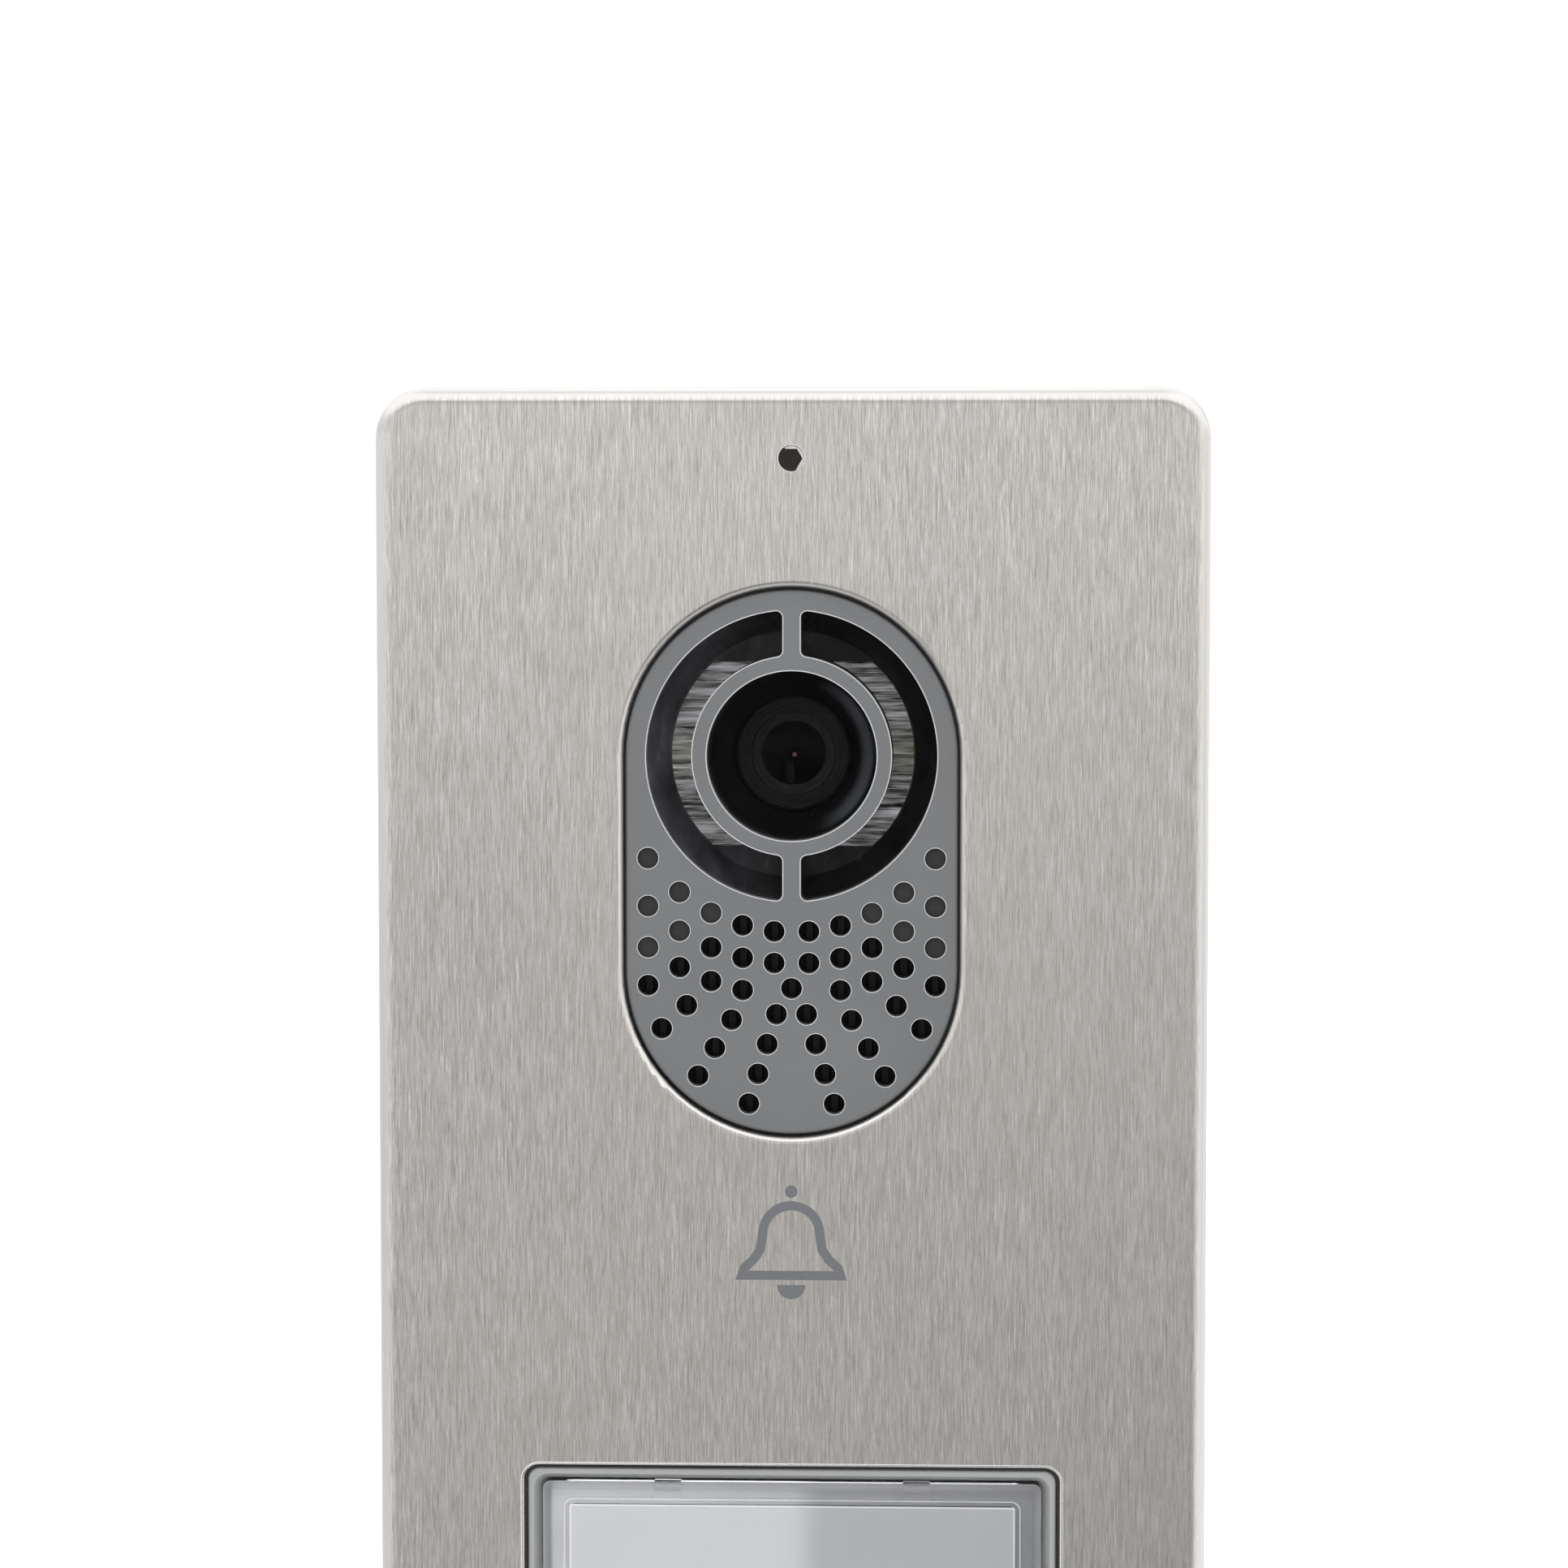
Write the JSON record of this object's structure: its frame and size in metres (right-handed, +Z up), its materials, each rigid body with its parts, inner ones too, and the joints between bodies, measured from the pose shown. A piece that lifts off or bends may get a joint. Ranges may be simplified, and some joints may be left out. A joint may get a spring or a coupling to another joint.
{
  "type": "door intercom panel",
  "caption": "Slim surface-mounted door station: folded steel front with a rounded camera and loudspeaker grille, one large lit call key with a name card, and a shallow back box made of a frame and a wall plate.",
  "frame": {"origin": "centre of the flat back of the wall plate, on the wall plane", "axes": "+Z up along the panel's height, +Y into the wall, +X to the right as seen from the front; the front faces -Y"},
  "size_m": [0.099, 0.032, 0.214],
  "materials": {
    "brushed_steel": "fine vertical brushing, satin",
    "grille_plastic": "fine-textured grey moulding",
    "key_plastic": "satin light grey moulding",
    "clear_plastic": "clear polycarbonate, polished",
    "card": "blank light grey card",
    "white_diffuser": "milky translucent plastic",
    "black_plastic": "satin black",
    "black_gloss": "polished black",
    "lens_glass": "coated optical glass",
    "housing_plastic": "fine-textured dark grey moulding",
    "rubber": "black elastomer",
    "screw_steel": "zinc-plated steel",
    "dark_steel": "blackened steel",
    "brass": "turned brass",
    "circuit_board": "green solder mask",
    "white_board": "white solder mask",
    "led": "yellow phosphor",
    "green_plastic": "moulded green",
    "ivory_plastic": "moulded ivory",
    "blue_plastic": "moulded blue",
    "red_plastic": "moulded red",
    "paper_cone": "pressed black film",
    "cloth_mesh": "fine woven mesh"
  },
  "bodies": {
    "panel": {"front_plate": "brushed_steel", "stud_nuts": "screw_steel", "camera_grille": "grille_plastic", "speaker_baffle": "black_plastic", "acoustic_mesh": "cloth_mesh", "lens_window": "clear_plastic", "camera_shroud": "black_gloss", "led_diffuser_left": "white_diffuser", "led_diffuser_right": "white_diffuser", "camera_leds": "led", "led_ring_board": "white_board", "camera_bracket": "black_plastic", "bracket_screws": "screw_steel", "lens_barrel": "black_plastic", "lens_front_glass": "lens_glass", "lens_rear_glass": "lens_glass", "lens_holder": "black_plastic", "image_sensor": "black_gloss", "sensor_board": "circuit_board", "camera_screws": "screw_steel", "ribbon_cable": "ivory_plastic", "ribbon_connectors": "ivory_plastic", "speaker_gasket": "rubber", "speaker_basket": "dark_steel", "speaker_magnet": "screw_steel", "speaker_contacts": "brass", "chassis": "housing_plastic", "return_springs": "screw_steel", "switch_body": "black_plastic", "card_leds": "led", "main_board": "circuit_board", "board_screws": "screw_steel", "terminal_block": "green_plastic", "terminal_screws": "screw_steel", "trimmer_bodies": "blue_plastic", "door_relay": "black_plastic", "capacitors": "black_gloss", "processor_chip": "black_plastic", "microphone_boot": "rubber", "microphone_capsule": "screw_steel", "microphone_lead": "red_plastic", "microphone_socket": "ivory_plastic", "rim_gasket": "rubber", "security_screws": "dark_steel", "security_washers": "rubber", "threaded_inserts": "brass", "cable_grommet": "rubber", "housing_frame": "housing_plastic", "wall_plate": "housing_plastic"},
    "call_key": {"key_frame": "key_plastic", "key_diffuser": "white_diffuser", "name_card": "card"},
    "cover": {"card_cover": "clear_plastic"},
    "plunger": {"switch_plunger": "red_plastic"},
    "cone": {"speaker_cone": "paper_cone"},
    "speaker_dial": {"speaker_volume_dial": "ivory_plastic"},
    "microphone_dial": {"microphone_volume_dial": "ivory_plastic"}
  },
  "joints": [
    {"name": "call_key_press", "type": "slide", "parent": "panel", "child": "call_key", "axis": [0, 1, 0], "range_m": [0, 0.0012], "stiffness_N_per_m": 900, "springref_m": -0.001, "deforming": ["return_springs"]},
    {"name": "switch_plunger_press", "type": "slide", "parent": "panel", "child": "plunger", "axis": [0, 1, 0], "range_m": [0, 0.0012]},
    {"name": "card_cover_release", "type": "slide", "parent": "call_key", "child": "cover", "axis": [0, -1, 0], "range_m": [0, 0.008]},
    {"name": "speaker_cone_stroke", "type": "slide", "parent": "panel", "child": "cone", "axis": [0, 1, 0], "range_m": [-0.0003, 0.0003], "stiffness_N_per_m": 600},
    {"name": "speaker_volume_turn", "type": "hinge", "parent": "panel", "child": "speaker_dial", "pos_m": [-0.033, 0, -0.05], "axis": [0, -1, 0], "range_deg": [-135, 135]},
    {"name": "microphone_volume_turn", "type": "hinge", "parent": "panel", "child": "microphone_dial", "pos_m": [0.033, 0, -0.05], "axis": [0, -1, 0], "range_deg": [-135, 135]}
  ],
  "couplings": [
    {"joint": "switch_plunger_press", "follows": "call_key_press", "ratio": 1}
  ]
}
